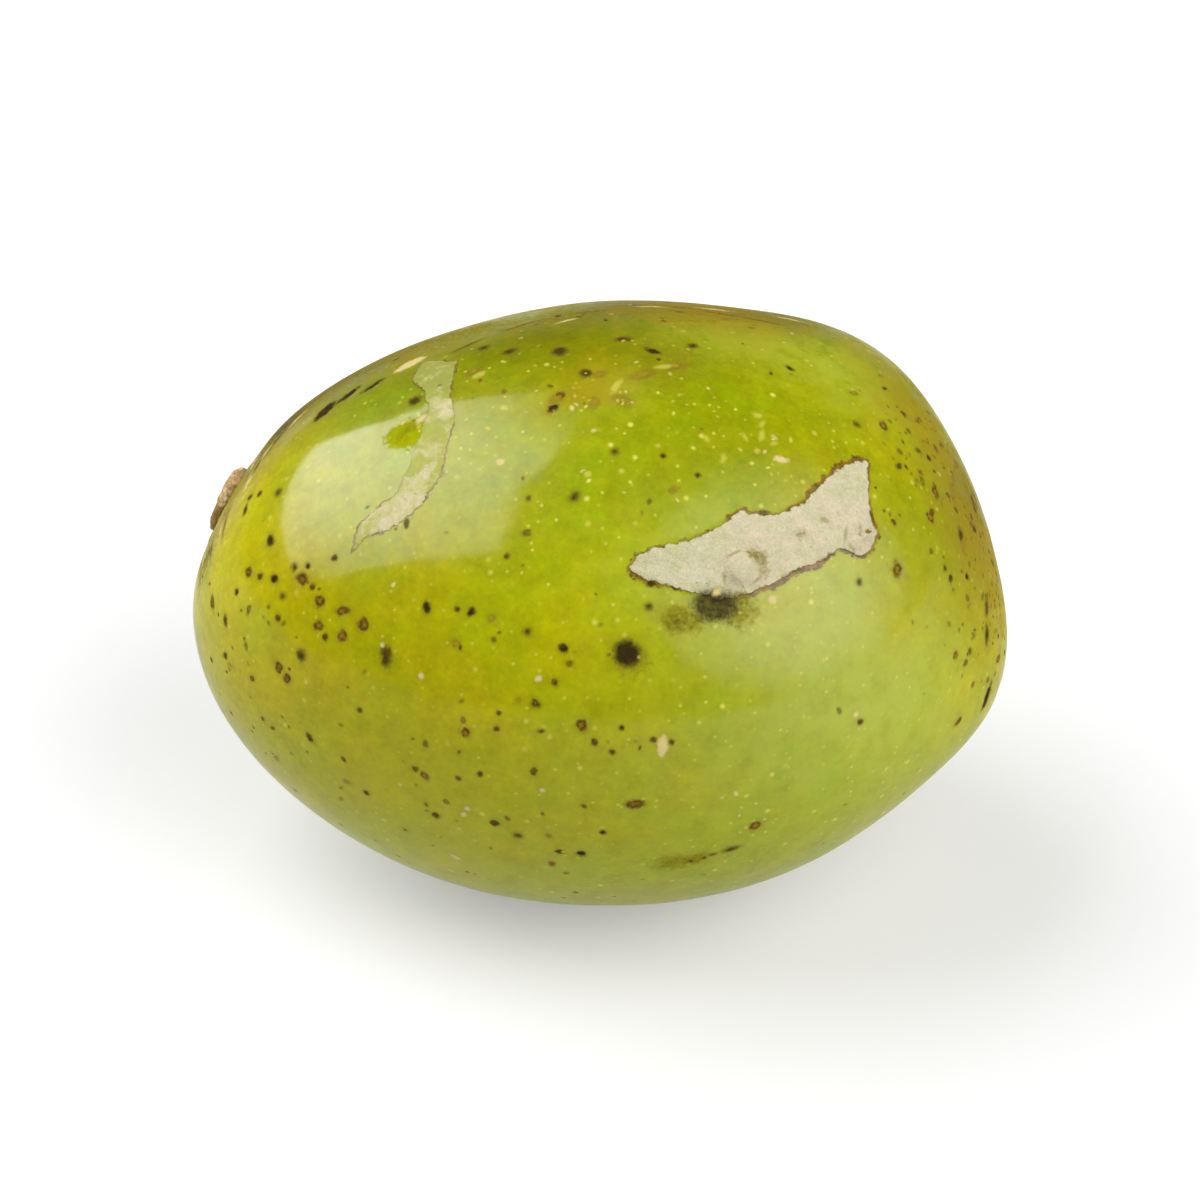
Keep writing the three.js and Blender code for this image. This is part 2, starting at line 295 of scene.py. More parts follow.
def size(name, description, default, low, high=1.0):
    """A length property, in metres."""
    return FloatProperty(
        name=name, description=description, default=default, min=low, max=high, unit="LENGTH",
    )


class PlumSizes(bpy.types.PropertyGroup):
    """The sizes of the fruit and its stump"""

    length: size("Length", "Length of the fruit from its stalk end to its tip", FRUIT_SIZE[0], 0.02)
    width: size("Width", "Width of the fruit across its belly", FRUIT_SIZE[1], 0.02)
    height: size("Height", "Height of the fruit as it lies", FRUIT_SIZE[2], 0.02)
    rest_depth: size("Rest depth", "How much of the belly the resting spot takes off", 0.0007, 0, 0.003)
    stump_radius: size("Stump radius", "Radius of the stalk's corky stump", 0.0034, 0.001, 0.01)
    divisions: IntProperty(
        name="Divisions", description="How many cells the skin has along each of its six sides",
        default=129, min=16, max=129,
    )


def colour(name, description, value):
    """A colour property that stays between black and white."""
    return FloatVectorProperty(
        name=name, description=description, default=value, subtype="COLOR", size=3, min=0, max=1,
    )


class PlumColours(bpy.types.PropertyGroup):
    """The colours of the skin, its marks and the cork"""

    green: colour("Green", "Skin where it is least ripe", (0.26, 0.328, 0.0))
    yellow: colour("Yellow", "Skin where it is ripest", (0.375, 0.32, 0.0))
    # Pale waxy bloom, also used as a painted sheen and a painted floor reflection
    bloom_and_sheen: colour("Bloom", "Skin under a pale waxy bloom", (0.36, 0.41, 0.03))
    oil_dot: colour("Oil dots", "The pale pinprick dots of the skin", (0.64, 0.6, 0.09))
    speck: colour("Specks", "Small brown specks", (0.08, 0.035, 0.006))
    blotch: colour("Blotches", "The blackest spots", (0.03, 0.022, 0.004))
    soot: colour("Sooty smudges", "Dark grey-brown smudges", (0.045, 0.032, 0.008))
    # Also the painted shade along the top and back-left edges and beside the blister
    stain_and_shade: colour("Stains", "Olive stains round spots and scars", (0.2, 0.165, 0.004))
    flake: colour("Flakes", "Cream and tan flakes", (0.62, 0.5, 0.22))
    russet: colour("Russet", "Golden brown roughened skin", (0.3, 0.205, 0.004))
    rust: colour("Rust", "Red-brown rims and streaks", (0.22, 0.1, 0.018))
    cork: colour("Cork", "The dry face of a scar", (0.65, 0.545, 0.385))
    cork_grey: colour("Grey cork", "The dry face of a scar where it is freshest", (0.6, 0.56, 0.38))
    cork_shade: colour("Cork shade", "The hollows of a scar's dry face", (0.5, 0.48, 0.25))
    film: colour("Film", "A thin papery scar that the skin shows through", (0.47, 0.46, 0.16))
    stump: colour("Stump", "The stalk's stump where it is palest", (0.95, 0.7, 0.36))
    stump_brown: colour("Brown stump", "The stump's cracks and crumbs", (0.56, 0.34, 0.1))
    stump_shade: colour("Stump shade", "The hollows and the foot of the stump", (0.3, 0.17, 0.006))
    floor: colour("Floor", "The floor of the stage", (0.66, 0.66, 0.67))


# ---------- shaping the skin


def unit(vectors):
    return vectors / np.linalg.norm(vectors, axis=-1, keepdims=True)


def zone_field(directions, zones):
    """The sum of the zones' changes at each direction: each is strongest in its own and dies out round it."""
    field = np.zeros(len(directions))
    for turn, rise, change, focus in zones:
        field += change * np.exp(focus * (directions @ toward(turn, rise) - 1))
    return field


def ball_lattice(divisions):
    """Directions, quads and a flat map of a ball cut from a cube, with cells of about one size."""
    ticks = np.arange(divisions + 1)
    across, up = np.meshgrid(ticks, ticks, indexing="ij")
    corners, quads, flat = [], [], []
    for side in range(6):
        axis, far = side % 3, side // 3
        grid = np.empty((*across.shape, 3), int)
        grid[..., axis] = far * divisions
        grid[..., (axis + 1) % 3] = across
        grid[..., (axis + 2) % 3] = up
        index = np.arange(across.size).reshape(across.shape) + side * across.size
        quad = [index[:-1, :-1], index[1:, :-1], index[1:, 1:], index[:-1, 1:]]
        corners.append(grid.reshape(-1, 3))
        quads.append(np.stack(quad if far else quad[::-1], -1).reshape(-1, 4))
        margin = 0.01
        inset = np.stack([across, up], -1).reshape(-1, 2) / divisions * (1 - 2 * margin) + margin
        flat.append((inset + (axis, far)) / (3, 2))
    quads = np.concatenate(quads)
    points, merged = np.unique(np.concatenate(corners), axis=0, return_inverse=True)
    cube = np.tan(math.pi / 4 * (2 * points / divisions - 1))
    return unit(cube), merged.reshape(-1)[quads], np.concatenate(flat)[quads]


def ridge_lift(directions):
    """How far the lengthwise ridges lift the skin, in millimetres: they die out at the stalk and the tip."""
    axis = unit(TIP_END - STALK_END)
    side = unit(np.cross((0, 0, 1), axis))
    bearing = np.arctan2(directions @ side, directions @ np.cross(axis, side))
    return RIDGE_HEIGHT * (1 - (directions @ axis) ** 2) * np.cos(RIDGES * bearing)


def egg_points(directions):
    """The points of the lopsided egg, in millimetres from its own centre."""
    outward = unit(directions / EGG_HALF)
    lift = ridge_lift(directions) + zone_field(directions, SWELLS)
    return directions * EGG_HALF + outward * lift[:, None]


def egg_normal(direction):
    """The way that the egg's skin faces at one direction."""
    side = unit(np.cross((0, 0, 1), direction))
    up = np.cross(direction, side)
    east, west, north, south = egg_points(unit(direction + 0.02 * np.array([side, -side, up, -up])))
    return unit(np.cross(east - west, north - south))


def skin_points(directions, sizes):
    """The egg stretched to the fruit's box, in metres, before the belly is flattened."""
    points = egg_points(directions)
    low, high = points.min(0), points.max(0)
    size = np.array([sizes.length, sizes.width, sizes.height + sizes.rest_depth])
    middle = np.append((FRUIT_LOW[:2] + FRUIT_HIGH[:2]) / 2, FRUIT_HIGH[2] - size[2] / 2)
    return (points - (low + high) / 2) / (high - low) * size + middle


def wave_field(points, size, octaves=1):
    """Smooth noise from about -1 to 1 at each point, with waves of a size in millimetres."""
    return np.array([noise.fractal(Vector(point) / (size * MM), 1, 2, octaves) for point in points])


def outline_depth(places, outline):
    """How far each flat place is inside an outline, negative outside it, and how dark the edge is nearby."""
    x, y = places.T
    starts = np.array(outline, float)
    steps = np.roll(starts, -1, axis=0) - starts
    nearest = np.full(len(places), np.inf)
    edge = np.zeros(len(places))
    inside = np.zeros(len(places), bool)
    with np.errstate(divide="ignore", invalid="ignore"):
        for (x0, y0, dark), (dx, dy, darker) in zip(starts, steps):
            along = np.clip(((x - x0) * dx + (y - y0) * dy) / (dx * dx + dy * dy), 0, 1)
            away = np.hypot(x - x0 - along * dx, y - y0 - along * dy)
            edge = np.where(away < nearest, dark + along * darker, edge)
            nearest = np.minimum(nearest, away)
            inside ^= ((y0 > y) != (y0 + dy > y)) & (x < x0 + dx * (y - y0) / dy)
    return np.where(inside, nearest, -nearest), edge


class Skin:
    """The skin's lattice on its way to a mesh: where each point lies and how its marks fall on it."""

    def __init__(self, sizes):
        self.directions, self.quads, self.flat = ball_lattice(sizes.divisions)
        self.points = skin_points(self.directions, sizes)
        self.outward = self.normals()
        for size, height in WAVES:
            self.lift(wave_field(self.points, size) * height)
        self.outward = self.normals()
        self.wander = wave_field(self.points, 4, 4)

    def normals(self):
        corner = self.points[self.quads]
        face = np.cross(corner[:, 2] - corner[:, 0], corner[:, 3] - corner[:, 1])
        total = np.zeros_like(self.points)
        for k in range(4):
            np.add.at(total, self.quads[:, k], face)
        return unit(total)

    def lift(self, height):
        """Moves every point out by its own height in millimetres."""
        self.points += self.outward * (height * MM)[:, None]

    def at(self, direction):
        """The index of the point that lies nearest to a direction."""
        return int(np.argmax(self.directions @ direction))

    def distance(self, direction):
        """Each point's distance from the one at a direction, in millimetres."""
        return np.linalg.norm(self.points - self.points[self.at(direction)], axis=1) / MM

    def tangents(self, direction):
        """The skin's point and facing at a direction, with the ways along the fruit and up its side there."""
        k = self.at(direction)
        outward = self.outward[k]
        along = unit(np.array([1, 0, 0]) - outward[0] * outward)
        return self.points[k], outward, along, np.cross(outward, along)

    def scar_depth(self, scar):
        """How far inside a scar's outline each point is, in millimetres, and how dark its edge is nearby."""
        direction, outline = scar
        place, outward, along, up = self.tangents(direction)
        reach = 1.3 * max(math.hypot(x, y) for x, y, _ in outline)
        offset = (self.points - place) / MM
        near = (np.abs(offset @ along) < reach) & (np.abs(offset @ up) < reach) & (offset @ outward > -reach)
        depth = np.full(len(self.points), -reach)
        edge = np.zeros(len(self.points))
        depth[near], edge[near] = outline_depth(np.stack([offset @ along, offset @ up], -1)[near], outline)
        return depth, edge

    def patch_depth(self, turn, rise, radius, lean, length):
        """How far inside a ragged patch each point is, in millimetres."""
        place, _, along, up = self.tangents(toward(turn, rise))
        lean = math.radians(lean)
        pull = math.sqrt(1 - 1 / length) * (math.cos(lean) * along + math.sin(lean) * up)
        offset = (self.points - place) / MM
        offset -= (offset @ pull)[:, None] * pull
        return radius * (1 + 0.7 * self.wander) - np.linalg.norm(offset, axis=1)

    def flatten(self, rest_depth):
        """Presses the belly flat on the ground."""
        height = self.points[:, 2]
        soft = 0.15 * rest_depth
        self.points[:, 2] = np.where(height < soft, soft * np.exp(np.minimum(height / soft - 1, 0)), height)


def smooth_step(low, high, value):
    share = np.clip((value - low) / (high - low), 0, 1)
    return share * share * (3 - 2 * share)


def mark(turn, rise, radius, lean=0, length=1, softness=0.14, hollow=0.0, strength=1.0, black=0.5):
    """One mark: its direction, its form (radius and softness of its edge in millimetres, how pale its middle
    is), its tone (strength, and how black it is), its lean in degrees and its length in widths."""
    return toward(turn, rise), (radius, softness, hollow), (strength, black, 0), math.radians(lean), length


def scatter(generator, clusters, smallest, largest):
    """Small marks thrown round the middles of their clusters."""
    marks = []
    for count, turn, rise, spread, hollow_share in clusters:
        for _ in range(count):
            x, y, z = unit(toward(turn, rise) + generator.normal(0, spread, 3))
            size = generator.random() ** 2.5
            hollow = 0.9 * float(generator.random() < hollow_share * min(1, 4 * size))
            marks.append(mark(
                math.degrees(math.atan2(y, x)), math.degrees(math.asin(z)),
                smallest + (largest - smallest) * size, generator.uniform(0, 180), generator.uniform(1, 1.7),
                0.12, hollow, 0.4 + 0.6 * generator.random(), 0.8 * generator.random(),
            ))
    return marks


def mark_attributes(skin, name, marks):
    """For each face, the mark whose edge is nearest: its middle, form, tone and the way that it is drawn out.
    Distance along that way is cut by the square of its own length, so that the mark comes out long."""
    middles = skin.points[skin.quads].mean(1)
    centre = np.full((len(middles), 3), NOWHERE)
    form, tone, drawn = np.zeros((3, len(middles), 3))
    best = np.full(len(middles), np.inf)
    for direction, shape, shade, lean, length in marks:
        place, _, along, up = skin.tangents(direction)
        pull = math.sqrt(1 - 1 / length) * (math.cos(lean) * along + math.sin(lean) * up)
        offset = (middles - place) / MM
        offset -= (offset @ pull)[:, None] * pull
        beyond = np.linalg.norm(offset, axis=1) - shape[0] - shape[1]
        nearer = (beyond < best) & (beyond < 1.2)
        best[nearer] = beyond[nearer]
        centre[nearer] = place
        form[nearer] = shape
        tone[nearer] = shade
        drawn[nearer] = pull
    return {f"{name}_centre": centre, f"{name}_form": form, f"{name}_tone": tone, f"{name}_drawn": drawn}


def new_mesh(name, points, quads, flat=None):
    """A smooth mesh object in the scene, with a flat map for baking if one is given."""
    mesh = bpy.data.meshes.new(name)
    mesh.from_pydata(points.tolist(), [], quads.tolist())
    mesh.polygons.foreach_set("use_smooth", np.ones(len(quads), bool))
    if flat is not None:
        mesh.uv_layers.new(name="OFBake").data.foreach_set("uv", flat.reshape(-1))
    mesh.update()
    piece = bpy.data.objects.new(name, mesh)
    bpy.context.scene.collection.objects.link(piece)
    return piece


def store(mesh, domain, fields):
    """Saves named fields on a mesh's points or faces: one number, or three, for each."""
    for name, values in fields.items():
        wide = values.ndim == 2
        attribute = mesh.attributes.new(name, "FLOAT_VECTOR" if wide else "FLOAT", domain)
        attribute.data.foreach_set("vector" if wide else "value", values.astype(np.float32).reshape(-1))


# ---------- shader nodes


class Net:
    """Adds nodes to a tree. An input may be given as a socket, a number, a vector or a colour."""

    def __init__(self, tree):
        self.tree = tree

    def add(self, kind, inputs=(), **settings):
        node = self.tree.nodes.new(kind)
        for key, value in settings.items():
            setattr(node, key, value)
        for key, value in dict(inputs).items():
            self.feed(node.inputs[key], value)
        return node

    def feed(self, socket, value):
        if isinstance(value, bpy.types.NodeSocket):
            self.tree.links.new(value, socket)
        elif socket.type == "RGBA":
            socket.default_value = (*value, 1)
        else:
            socket.default_value = value

    def math(self, operation, *values, clamp=False):
        node = self.add("ShaderNodeMath", enumerate(values), operation=operation, use_clamp=clamp)
        return node.outputs[0]

    def times(self, *values, clamp=False):
        return self.math("MULTIPLY", *values, clamp=clamp)

    def plus(self, *values, clamp=False):
        return self.math("ADD", *values, clamp=clamp)

    def minus(self, first, second):
        return self.math("SUBTRACT", first, second)

    def most(self, first, second):
        return self.math("MAXIMUM", first, second)

    def vector(self, operation, first, second=(0, 0, 0)):
        node = self.add("ShaderNodeVectorMath", {0: first, 1: second}, operation=operation)
        single = operation in ("LENGTH", "DISTANCE", "DOT_PRODUCT")
        return node.outputs["Value" if single else "Vector"]

    def scaled(self, vector, factor):
        node = self.add("ShaderNodeVectorMath", {"Vector": vector, "Scale": factor}, operation="SCALE")
        return node.outputs["Vector"]

    def step(self, value, low, high):
        """A smooth step from 0 at low to 1 at high, which may run either way."""
        inputs = {"Value": value, "From Min": low, "From Max": high}
        return self.add("ShaderNodeMapRange", inputs, interpolation_type="SMOOTHSTEP").outputs["Result"]

    def ramp(self, value, low, high, start, end):
        """A straight, clamped change from start to end as the value goes from low to high."""
        inputs = {"Value": value, "From Min": low, "From Max": high, "To Min": start, "To Max": end}
        return self.add("ShaderNodeMapRange", inputs).outputs["Result"]

    def mix(self, share, first, second):
        """A colour between two, by the share of the second."""
        node = self.add("ShaderNodeMix", data_type="RGBA")
        for socket, value in zip((node.inputs[0], node.inputs[6], node.inputs[7]), (share, first, second)):
            self.feed(socket, value)
        return node.outputs[2]

    def between(self, share, first, second):
        """A number between two, by the share of the second."""
        node = self.add("ShaderNodeMix", data_type="FLOAT")
        for socket, value in zip((node.inputs[0], node.inputs[2], node.inputs[3]), (share, first, second)):
            self.feed(socket, value)
        return node.outputs[0]

    def noise(self, place, size, detail=2.0, roughness=0.5, distortion=0.0):
        """Noise from 0 to 1, with waves of a size in millimetres."""
        inputs = {"Vector": place, "Scale": 1 / size, "Detail": detail, "Roughness": roughness,
                  "Distortion": distortion}
        return self.add("ShaderNodeTexNoise", inputs).outputs["Fac"]

    def field(self, name, output="Fac"):
        return self.add("ShaderNodeAttribute", attribute_name=name).outputs[output]

    def place(self):
        """The place on the piece, in millimetres."""
        return self.scaled(self.add("ShaderNodeTexCoord").outputs["Object"], 1 / MM)

    def turned(self, place):
        """The place turned askew, so that fine noise doesn't line up with the fruit."""
        inputs = {"Vector": place, "Rotation": (0.6, 0.4, 0.8)}
        return self.add("ShaderNodeVectorRotate", inputs, rotation_type="EULER_XYZ").outputs[0]

    def marks(self, tree, kind, place, waver):
        """A group of marks that reads the faces' fields of one kind, spot or flake."""
        parts = ("centre", "form", "tone", "drawn")
        fields = {part: self.field(f"{kind}_{part}", "Vector") for part in parts}
        return self.group(tree, place=place, waver=waver, **fields)

    def group(self, tree, **inputs):
        node = self.add("ShaderNodeGroup", node_tree=tree)
        for key, value in inputs.items():
            self.feed(node.inputs[key.replace("_", " ").capitalize()], value)
        return node.outputs


def new_group(name, inputs, outputs):
    """An empty node group with named sockets: returns its net, its inputs and a way to set an output."""
    tree = bpy.data.node_groups.new(name, "ShaderNodeTree")
    for label, kind, value in inputs:
        socket = tree.interface.new_socket(label, in_out="INPUT", socket_type=f"NodeSocket{kind}")
        socket.default_value = value
    for label, kind in outputs:
        tree.interface.new_socket(label, in_out="OUTPUT", socket_type=f"NodeSocket{kind}")
    net = Net(tree)
    given = net.add("NodeGroupInput").outputs
    result = net.add("NodeGroupOutput").inputs
    return net, given, result


def pinprick_group():
    """Small round dots strewn over a surface, some larger and some missing."""
    net, given, result = new_group(
        "Pinpricks",
        [("Place", "Vector", (0, 0, 0)), ("Spacing", "Float", 1.0), ("Radius", "Float", 0.2)],
        [("Mask", "Float"), ("Tint", "Float")],
    )
    spacing = given["Spacing"]
    place = net.vector("DIVIDE", given["Place"], net.add(
        "ShaderNodeCombineXYZ", {"X": spacing, "Y": spacing, "Z": spacing}).outputs[0])
    cells = net.add("ShaderNodeTexVoronoi", {"Vector": place, "Scale": 1.0, "Randomness": 0.85})
    reach = net.math("DIVIDE", given["Radius"], spacing)
    edge = net.times(reach, 0.15)
    inputs = {"Value": cells.outputs["Distance"], "From Min": reach, "From Max": edge}
    mask = net.add("ShaderNodeMapRange", inputs, interpolation_type="SMOOTHSTEP").outputs["Result"]
    net.feed(result["Mask"], mask)
    net.feed(result["Tint"], net.add(
        "ShaderNodeSeparateColor", {"Color": cells.outputs["Color"]}).outputs["Red"])
    return net.tree


def spot_group():
    """One mark with a wavering edge: its mask, the mask of its pale middle, the faint halo round it, and how
    black it is."""
    net, given, result = new_group(
        "Spot",
        [("Place", "Vector", (0, 0, 0)), ("Centre", "Vector", (0, 0, 0)), ("Form", "Vector", (0, 0, 0)),
         ("Tone", "Vector", (0, 0, 0)), ("Drawn", "Vector", (0, 0, 0)), ("Waver", "Float", 0.3)],
        [("Mask", "Float"), ("Middle", "Float"), ("Halo", "Float"), ("Black", "Float")],
    )
    form = net.add("ShaderNodeSeparateXYZ", {"Vector": given["Form"]}).outputs
    tone = net.add("ShaderNodeSeparateXYZ", {"Vector": given["Tone"]}).outputs
    radius, softness, hollow = form["X"], form["Y"], form["Z"]
    offset = net.vector("SUBTRACT", given["Place"], net.scaled(given["Centre"], 1 / MM))
    pulled = net.scaled(given["Drawn"], net.vector("DOT_PRODUCT", offset, given["Drawn"]))
    away = net.vector("LENGTH", net.vector("SUBTRACT", offset, pulled))
    turned = net.turned(given["Place"])
    ragged = net.minus(net.noise(turned, 0.75, 4.0, 0.6, 0.5), 0.5)
    waver = net.times(ragged, given["Waver"])
    waver = net.times(waver, net.math("MINIMUM", net.plus(radius, 0.1), 0.6))
    away = net.plus(away, waver)
    mask = net.step(away, net.plus(radius, softness), net.minus(radius, softness))
    net.feed(result["Mask"], net.times(mask, tone["X"]))
    stray = net.minus(net.noise(turned, 0.6, 2.0, 0.5), 0.5)
    inside = net.plus(away, net.times(stray, net.times(radius, 1.2)))
    inner = net.step(inside, net.times(radius, 0.65), net.times(radius, 0.1))
    net.feed(result["Middle"], net.times(inner, hollow))
    reach = net.plus(net.times(radius, 1.8), softness)
    halo = net.step(away, reach, net.times(radius, 0.6))
    net.feed(result["Halo"], net.times(halo, tone["X"]))
    pitted = net.ramp(net.noise(given["Place"], 0.4, 2.0), 0.3, 0.7, -0.35, 0.35)
    net.feed(result["Black"], net.plus(tone["Y"], pitted, clamp=True))
    return net.tree


def torn_edge_group():
    """A scar's ragged edge: what is inside it, and the dark, broken line that runs along it."""
    net, given, result = new_group(
        "Torn edge",
        [("Place", "Vector", (0, 0, 0)), ("Depth", "Float", 0.0), ("Darkness", "Float", 0.5),
         ("Tear", "Float", 0.5), ("Softness", "Float", 0.05), ("Rim width", "Float", 0.2)],
        [("Inside", "Float"), ("Rim", "Float")],
    )
    coarse = net.minus(net.noise(given["Place"], 0.9, 4.0, 0.7), 0.5)
    depth = net.plus(given["Depth"], net.times(coarse, given["Tear"]))
    net.feed(result["Inside"], net.step(depth, net.times(given["Softness"], -1.0), given["Softness"]))
    uneven = net.ramp(net.noise(given["Place"], 1.3, 3.0, 0.7), 0.35, 0.65, 0.35, 1.3)
    width = net.times(net.times(uneven, given["Darkness"]), given["Rim width"])
    off_edge = net.math("ABSOLUTE", net.plus(depth, net.times(width, 0.5)))
    line = net.step(off_edge, net.plus(width, 0.06), net.times(width, 0.5))
    shown = net.ramp(net.times(uneven, given["Darkness"]), 0.05, 0.5, 0.0, 1.0)
    net.feed(result["Rim"], net.times(line, shown))
    return net.tree


def cork_group():
    """Dry cork: a colour mottled between two with dark pores, and the height of its grain."""
    net, given, result = new_group(
        "Dry cork",
        [("Place", "Vector", (0, 0, 0)), ("Pale", "Color", (1, 1, 1, 1)), ("Shade", "Color", (0, 0, 0, 1)),
         ("Pore", "Color", (0, 0, 0, 1)), ("Grain", "Float", 0.6), ("Cracks", "Float", 0.0)],
        [("Colour", "Color"), ("Height", "Float")],
    )
    grain = given["Grain"]
    scale = net.add("ShaderNodeCombineXYZ", {"X": grain, "Y": grain, "Z": grain}).outputs[0]
    place = net.vector("DIVIDE", given["Place"], scale)
    mottle = net.noise(place, 5.0, 4.0, 0.65, 0.6)
    crumbs = net.noise(place, 0.75, 4.0, 0.7)
    shaded = net.ramp(net.plus(net.times(mottle, 0.6), net.times(crumbs, 0.4)), 0.62, 0.4, 0.0, 1.0)
    colour_out = net.mix(shaded, given["Pale"], given["Shade"])
    colour_out = net.scaled(colour_out, net.ramp(net.noise(place, 0.4, 3.0, 0.7), 0.3, 0.7, 0.88, 1.1))
    crack = net.math("ABSOLUTE", net.minus(net.noise(place, 2.2, 5.0, 0.6, 0.8), 0.5))
    crack = net.times(net.step(crack, 0.05, 0.0), given["Cracks"])
    colour_out = net.mix(net.times(crack, 0.4), colour_out, given["Shade"])
    pores = net.step(net.noise(place, 0.9, 2.0), 0.7, 0.8)
    net.feed(result["Colour"], net.mix(net.times(pores, 0.45), colour_out, given["Pore"]))
    height = net.plus(net.times(mottle, 0.4), net.times(crumbs, 0.6))
    height = net.minus(height, net.times(crack, 0.35))
    net.feed(result["Height"], net.minus(height, net.times(pores, 0.4)))
    return net.tree


GROUP_MAKERS = {
    "Pinpricks": pinprick_group,
    "Spot": spot_group,
    "Torn edge": torn_edge_group,
    "Dry cork": cork_group,
}


def groups():
    """The shared node groups, each built the first time that it is wanted."""
    return {name: bpy.data.node_groups.get(name) or maker() for name, maker in GROUP_MAKERS.items()}


def new_material(name):
    """A material with only a Principled BSDF: returns it, its net and the shader."""
    material = bpy.data.materials.new(name)
    material.use_nodes = True
    return material, Net(material.node_tree), material.node_tree.nodes["Principled BSDF"]


def skin_material(colours):
    """Waxy skin: green to yellow, with bloom that is partly a painted sheen, painted light and shade, oil
    dots, russet, stains that are partly painted shade, specks, flakes and corky scars.
    """
    material, net, shader = new_material("june plum skin")
    made = groups()
    place = net.place()

    # The ground colour, from green to yellow, with fine mottling, painted light and shade from the tone
    # field, and a pale waxy bloom that is partly a painted sheen and a painted floor reflection
    drift = net.times(net.minus(net.noise(place, 7, 4.0, 0.6), 0.5), 1.5)
    fleck = net.times(net.minus(net.noise(place, 1.3, 3.0, 0.7), 0.5), 0.7)
    ripe = net.plus(net.plus(net.field("ripe"), drift), fleck, clamp=True)
    ground = net.mix(ripe, colours.green, colours.yellow)
    cloud = net.ramp(net.noise(place, 2.5, 4.0, 0.75), 0.3, 0.7, 0.82, 1.15)
    freckle = net.ramp(net.noise(place, 0.55, 3.0, 0.7), 0.3, 0.7, 0.93, 1.07)
    ground = net.scaled(net.scaled(ground, net.field("tone")), net.times(cloud, freckle))
    bloom_and_sheen = net.times(net.field("bloom_and_sheen"), net.ramp(
        net.noise(place, 2.6, 4.0, 0.7), 0.35, 0.65, 0.2, 1.3), clamp=True)
    ground = net.mix(bloom_and_sheen, ground, colours.bloom_and_sheen)

    # Oil dots: many fine ones, and fewer larger ones
    fine = net.group(made["Pinpricks"], place=place, spacing=1.2, radius=0.27)
    large = net.group(made["Pinpricks"], place=place, spacing=2.3, radius=0.42)
    fine_mask = net.times(fine["Mask"], net.ramp(fine["Tint"], 0, 1, 0.1, 0.85))
    large_mask = net.times(large["Mask"], net.step(large["Tint"], 0.1, 0.9))
    dots = net.most(fine_mask, large_mask)
    dots = net.times(dots, net.ramp(ripe, 0.2, 0.9, 1.0, 0.55))
    ground = net.mix(dots, ground, colours.oil_dot)

    # Russet: a golden brown wash, with streaks along the fruit and specks where its zone is strong
    stretched = net.vector("MULTIPLY", place, (0.3, 1, 1))
    washed = net.plus(net.field("russet"), net.ramp(net.noise(place, 2.6, 4.0, 0.7), 0.3, 0.7, -0.3, 0.3))
    wash = net.times(net.step(washed, 0.1, 0.75), 0.6)
    ground = net.mix(wash, ground, colours.russet)
    bar = net.minus(0.82, net.times(net.field("russet"), 0.36))
    streaks = net.step(net.noise(stretched, 0.9, 4.0, 0.7, 0.4), bar, net.plus(bar, 0.1))
    specks = net.step(net.noise(place, 0.9, 3.0, 0.6, 1.0), bar, net.plus(bar, 0.08))
    russet = net.most(streaks, specks)
    russet_colour = net.mix(net.step(
        net.noise(stretched, 0.5, 3.0, 0.6), 0.4, 0.65), colours.russet, colours.rust)
    ground = net.mix(net.times(russet, 0.8), ground, russet_colour)

    # A thin papery strip that turns to cork, and a thick dry scar with a dark edge
    film = net.group(
        made["Torn edge"], place=place, depth=net.field("film"), darkness=net.field("film_edge"),
        tear=1.2, softness=0.12, rim_width=0.16)
    cork = net.group(
        made["Torn edge"], place=place, depth=net.field("cork"), darkness=net.field("cork_edge"),
        tear=1.1, softness=0.09, rim_width=0.42)
    film_face = net.group(
        made["Dry cork"], place=place, pale=colours.cork, shade=colours.film, pore=colours.rust, grain=0.5,
        cracks=0.5)
    corky = net.plus(net.field("corky"), net.ramp(
        net.noise(place, 1.6, 4.0, 0.6, 0.8), 0.36, 0.64, -0.5, 0.5))
    corky = net.step(corky, 0.1, 0.9)
    cork_pale = net.mix(corky, colours.cork_grey, colours.cork)
    cork_dark = net.mix(net.times(corky, 0.6), colours.cork_shade, colours.cork_grey)
    cork_face = net.group(
        made["Dry cork"], place=place, pale=cork_pale, shade=cork_dark, pore=colours.rust, grain=0.5)
    scuffed = net.ramp(net.noise(place, 0.9, 4.0, 0.7), 0.35, 0.65, 0.9, 1.07)
    film_share = net.times(film["Inside"], net.ramp(corky, 0, 1, 0.4, 0.9))
    film_colour = net.mix(corky, colours.film, film_face["Colour"])
    rim_colour = net.mix(net.step(net.noise(place, 1.3, 3.0, 0.7), 0.48, 0.6), colours.rust, colours.speck)
    ground = net.mix(film_share, ground, film_colour)
    ground = net.mix(net.times(film["Rim"], 0.7), ground, rim_colour)
    ground = net.mix(cork["Inside"], ground, net.scaled(cork_face["Colour"], scuffed))
    ground = net.mix(net.times(cork["Rim"], 0.85), ground, rim_colour)

